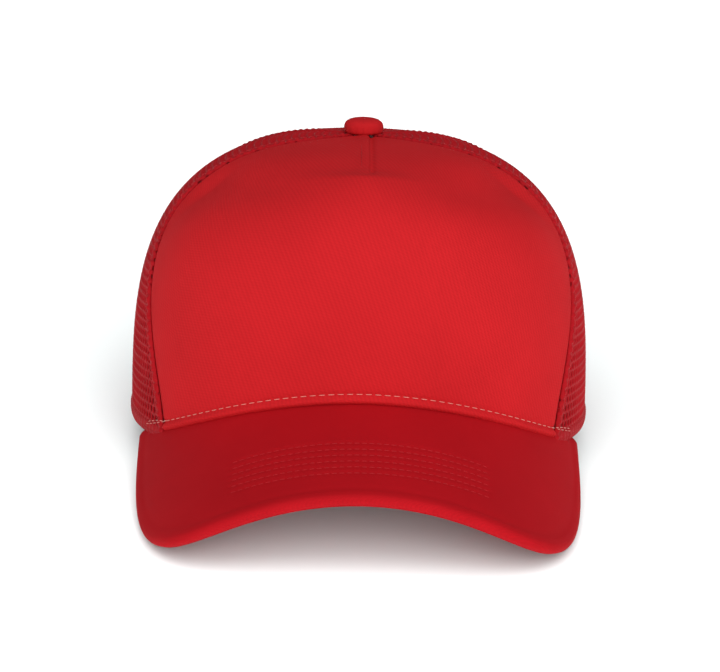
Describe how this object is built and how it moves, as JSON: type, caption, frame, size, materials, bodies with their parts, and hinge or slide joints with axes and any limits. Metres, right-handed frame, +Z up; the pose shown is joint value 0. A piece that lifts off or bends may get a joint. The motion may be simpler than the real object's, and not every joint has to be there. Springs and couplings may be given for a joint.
{
  "type": "trucker mesh cap",
  "caption": "Trucker cap with a tall cloth front panel, mesh side and rear panels, a curved stitched visor, a top button and a rear snap closure.",
  "frame": {"origin": "middle of the bounding box, on the surface that the cap rests on", "axes": "+X towards the wearer's left, +Y towards the rear of the cap, +Z up; the visor points along -Y and the crown is tipped back by 6.6 degrees, as it rests on its visor corners and rear hem"},
  "size_m": [0.1848, 0.2586, 0.1312],
  "materials": {
    "twill": "matt woven cotton twill, deep red, slight diagonal rib",
    "mesh": "knitted polyester netting, red, slight sheen",
    "tape": "flat woven cotton tape, red",
    "sweatband": "plain woven cotton band, red",
    "fleece": "red brushed interlining",
    "buckram": "stiff open-weave white buckram",
    "visor_board": "plain moulded sheet",
    "button_metal": "plain pressed steel",
    "strap": "semi-gloss moulded flexible plastic, red"
  },
  "bodies": {
    "crown": {"front_panel": "twill", "front_panel_backing": "buckram", "side_mesh_left": "mesh", "side_mesh_right": "mesh", "rear_mesh_left": "mesh", "rear_mesh_right": "mesh", "front_seam_tape_left": "tape", "front_seam_tape_right": "tape", "side_seam_tape_left": "tape", "side_seam_tape_right": "tape", "rear_seam_tape": "tape", "opening_binding": "tape", "sweatband_stiffener": "fleece", "sweatband": "sweatband", "visor_board": "visor_board", "visor_top_cloth": "twill", "visor_under_cloth": "twill", "button_cover": "twill", "button_shell": "button_metal", "button_ring": "button_metal", "hole_strap_root": "strap", "stud_strap_root": "strap"},
    "hole_strap_body": {"hole_strap": "strap"},
    "stud_strap_body": {"stud_strap": "strap"}
  },
  "joints": [
    {"name": "hole_strap_swing", "type": "hinge", "parent": "crown", "child": "hole_strap_body", "pos_m": [-0.0445, 0.11306, 0.0122], "axis": [0, 0.1142, 0.9935], "range_deg": [0, 60]},
    {"name": "stud_strap_swing", "type": "hinge", "parent": "crown", "child": "stud_strap_body", "pos_m": [0.0445, 0.11123, 0.01241], "axis": [0, 0.1142, 0.9935], "range_deg": [0, 75]}
  ]
}
